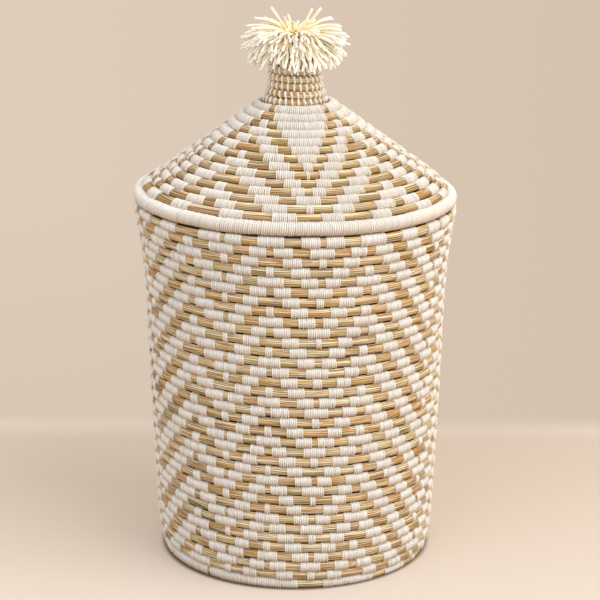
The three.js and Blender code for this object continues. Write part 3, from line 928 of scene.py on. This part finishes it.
def strand_finish(name):
    """Cream yarn of two plies, paler at the cut ends, with painted light: warm yellow towards the
    tie, for light glowing through the yarn deep in the bunch.
    """
    material, tree, skin = shader(name)
    lay = node(tree, "ShaderNodeUVMap", {"uv_map": "lay"}).outputs[0]
    around = node(tree, "ShaderNodeSeparateXYZ", i0=lay).outputs[1]
    along = mark(tree, "along")
    # Painted light: warm yellow towards the tie, paler towards the cut ends
    warm = ramp(tree, along, STRAND_PAINTED_GLOW_STOPS)
    number = sums(tree, "FLOOR", sums(tree, "ADD", mark(tree, "strand"), 0.5))
    shade = mixed(tree, times(tree, chance(tree, number), 0.16), warm, STRAND_TONE)
    twist = sums(tree, "ADD", times(tree, along, 150), times(tree, around, PLY_TURN))
    plies = sums(tree, "SINE", twist)
    shade = mixed(tree, times(tree, band(tree, plies, -0.3, -1.0), 0.1), shade, PLY_TONE)
    tree.links.new(shade, skin.inputs["Base Color"])
    bump = node(tree, "ShaderNodeBump", Strength=0.1, Distance=0.2 * MM, Height=plies)
    tree.links.new(bump.outputs[0], skin.inputs["Normal"])
    skin.inputs["Roughness"].default_value = 0.9
    skin.inputs["Sheen Weight"].default_value = 0.3
    return material


pompom.data.materials.append(strand_finish("cream_yarn"))
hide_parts("pompom_yarn")
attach(pompom, "lid")

# Floor and backdrop. One pale sheet that turns up behind the basket. It shows only from its front,
# so that the basket can be looked at from behind and below. A dark line under the foot stands for
# the narrow shadow there.
FLOOR_HALF = 3
BACKDROP_AT = 0.29
BACKDROP_HEIGHT = 2.5
TURN_UP = 0.02
# Painted shade on the floor: its colour darkens from the front towards the back
FLOOR_NEAR = (0.78, 0.7, 0.63)
FLOOR_FAR = (0.69, 0.6, 0.525)
# Painted light and shade on the floor as seen: lighter at the left, darker at the right
FLOOR_LEFT_SHOWN = (0.97, 0.83, 0.7)
FLOOR_RIGHT_SHOWN = (0.7, 0.59, 0.49)
FLOOR_UNDER_FOOT = (0.16, 0.09, 0.05)
FOOT_LINE = (0.1262, 0.12)
FADE_ACROSS = (-0.3, 0.3)
FADE_DEEP = (-0.25, 0.28)
FLOOR_PAPER_SHARE = 0.22
# Painted light and shade on the backdrop: lighter at the left, darker at the right
BACKDROP_LEFT = (0.737, 0.61, 0.497)
BACKDROP_RIGHT = (0.672, 0.546, 0.434)
bm = bmesh.new()
low = bm.verts.new((-FLOOR_HALF, -FLOOR_HALF, 0))
corner = bm.verts.new((-FLOOR_HALF, BACKDROP_AT, 0))
high = bm.verts.new((-FLOOR_HALF, BACKDROP_AT, BACKDROP_HEIGHT))
edges = [bm.edges.new((low, corner)), bm.edges.new((corner, high))]
bmesh.ops.bevel(
    bm, geom=[corner], offset=TURN_UP, offset_type="OFFSET", segments=8, profile=0.5,
    affect="VERTICES", material=-1,
)
swept = bmesh.ops.extrude_edge_only(bm, edges=list(bm.edges))
moved = [item for item in swept["geom"] if isinstance(item, bmesh.types.BMVert)]
bmesh.ops.translate(bm, verts=moved, vec=(2 * FLOOR_HALF, 0, 0))
bmesh.ops.recalc_face_normals(bm, faces=bm.faces)
# An open sheet has no inside, so its faces may still look down
if any(face.normal.z < -0.5 for face in bm.faces):
    bmesh.ops.reverse_faces(bm, faces=bm.faces)
for face in bm.faces:
    face.smooth = True
sheet_mesh = bpy.data.meshes.new("floor_sheet")
bm.to_mesh(sheet_mesh)
bm.free()
sheet = bpy.data.objects.new("floor_sheet", sheet_mesh)
bpy.context.scene.collection.objects.link(sheet)
material, tree, skin = shader("floor_paper")
place = node(tree, "ShaderNodeSeparateXYZ", i0=node(tree, "ShaderNodeTexCoord").outputs[3])
# Painted shade: the floor darkens towards the back
floor_color = mixed(tree, band(tree, place.outputs[1], *FADE_DEEP), FLOOR_NEAR, FLOOR_FAR)
# Painted light and shade: the floor as seen is lighter at the left and darker at the right
floor_shown = mixed(tree, band(tree, place.outputs[0], *FADE_ACROSS), FLOOR_LEFT_SHOWN, FLOOR_RIGHT_SHOWN)
level = node(tree, "ShaderNodeCombineXYZ", i0=place.outputs[0], i1=place.outputs[1])
distance = node(tree, "ShaderNodeVectorMath", {"operation": "LENGTH"}, i0=level.outputs[0])
from_axis = distance.outputs["Value"]
under_foot = times(tree, band(tree, from_axis, *FOOT_LINE), 0.9)
floor_color = mixed(tree, under_foot, floor_color, FLOOR_UNDER_FOOT)
floor_shown = mixed(tree, under_foot, floor_shown, FLOOR_UNDER_FOOT)
# Painted light and shade: the backdrop is lighter at the left and darker at the right
backdrop_color = mixed(tree, band(tree, place.outputs[0], *FADE_ACROSS), BACKDROP_LEFT, BACKDROP_RIGHT)
# Painted shade: the backdrop darkens low down, towards the turn into the floor
backdrop_low_shade = times(tree, band(tree, place.outputs[2], 0.3, 0.0), 0.6)
backdrop_color = mixed(tree, backdrop_low_shade, backdrop_color, BACKDROP_RIGHT)
upright = band(tree, place.outputs[2], 0.0, TURN_UP)
tree.links.new(mixed(tree, upright, floor_color, backdrop_color), skin.inputs["Base Color"])
skin.inputs["Roughness"].default_value = 0.8
skin.inputs["Specular IOR Level"].default_value = 0.1
paper_share = stretched(tree, upright, 1 - FLOOR_PAPER_SHARE, FLOOR_PAPER_SHARE)
ray = node(tree, "ShaderNodeLightPath").outputs
camera_ray = ray["Is Camera Ray"]
mirrored = sums(tree, "MAXIMUM", ray["Is Glossy Ray"], ray["Is Transmission Ray"])
seen = times(tree, sums(tree, "MAXIMUM", camera_ray, mirrored), paper_share)
paper = node(tree, "ShaderNodeEmission", Color=mixed(tree, upright, floor_shown, backdrop_color))
shown = node(tree, "ShaderNodeMixShader", i0=seen, i1=skin.outputs[0], i2=paper.outputs[0])
hidden = times(tree, node(tree, "ShaderNodeNewGeometry").outputs["Backfacing"], camera_ray)
clear = node(tree, "ShaderNodeBsdfTransparent")
one_sided = node(tree, "ShaderNodeMixShader", i0=hidden, i1=shown.outputs[0], i2=clear.outputs[0])
tree.links.new(one_sided.outputs[0], tree.nodes["Material Output"].inputs[0])
sheet_mesh.materials.append(material)

# Light. A large soft lamp above and to the right of the front, a weak one at the left, and pale
# light all round.
ROOM_COLOR = (0.985, 0.99, 1.0, 1)
ROOM_STRENGTH = 0.8
LAMP_AIM = (0, 0, 0.25)
world = bpy.data.worlds.new("room")
world.use_nodes = True
world.node_tree.nodes["Background"].inputs[0].default_value = ROOM_COLOR
world.node_tree.nodes["Background"].inputs[1].default_value = ROOM_STRENGTH
bpy.context.scene.world = world
for name, spot, size, power, color in (
    ("key_lamp", (1.5, -1.0, 1.8), 2.2, 41.5, (1.0, 0.965, 0.875)),
    ("fill_lamp", (-1.0, -1.6, 1.2), 1.6, 6, (1.0, 0.98, 0.96)),
):
    lamp_data = bpy.data.lights.new(name, "AREA")
    lamp_data.size = size
    lamp_data.energy = power
    lamp_data.color = color
    lamp = bpy.data.objects.new(name, lamp_data)
    lamp.location = spot
    lamp.rotation_euler = (Vector(LAMP_AIM) - Vector(spot)).to_track_quat("-Z", "Y").to_euler()
    bpy.context.scene.collection.objects.link(lamp)

bpy.context.scene.view_settings.view_transform = "Standard"
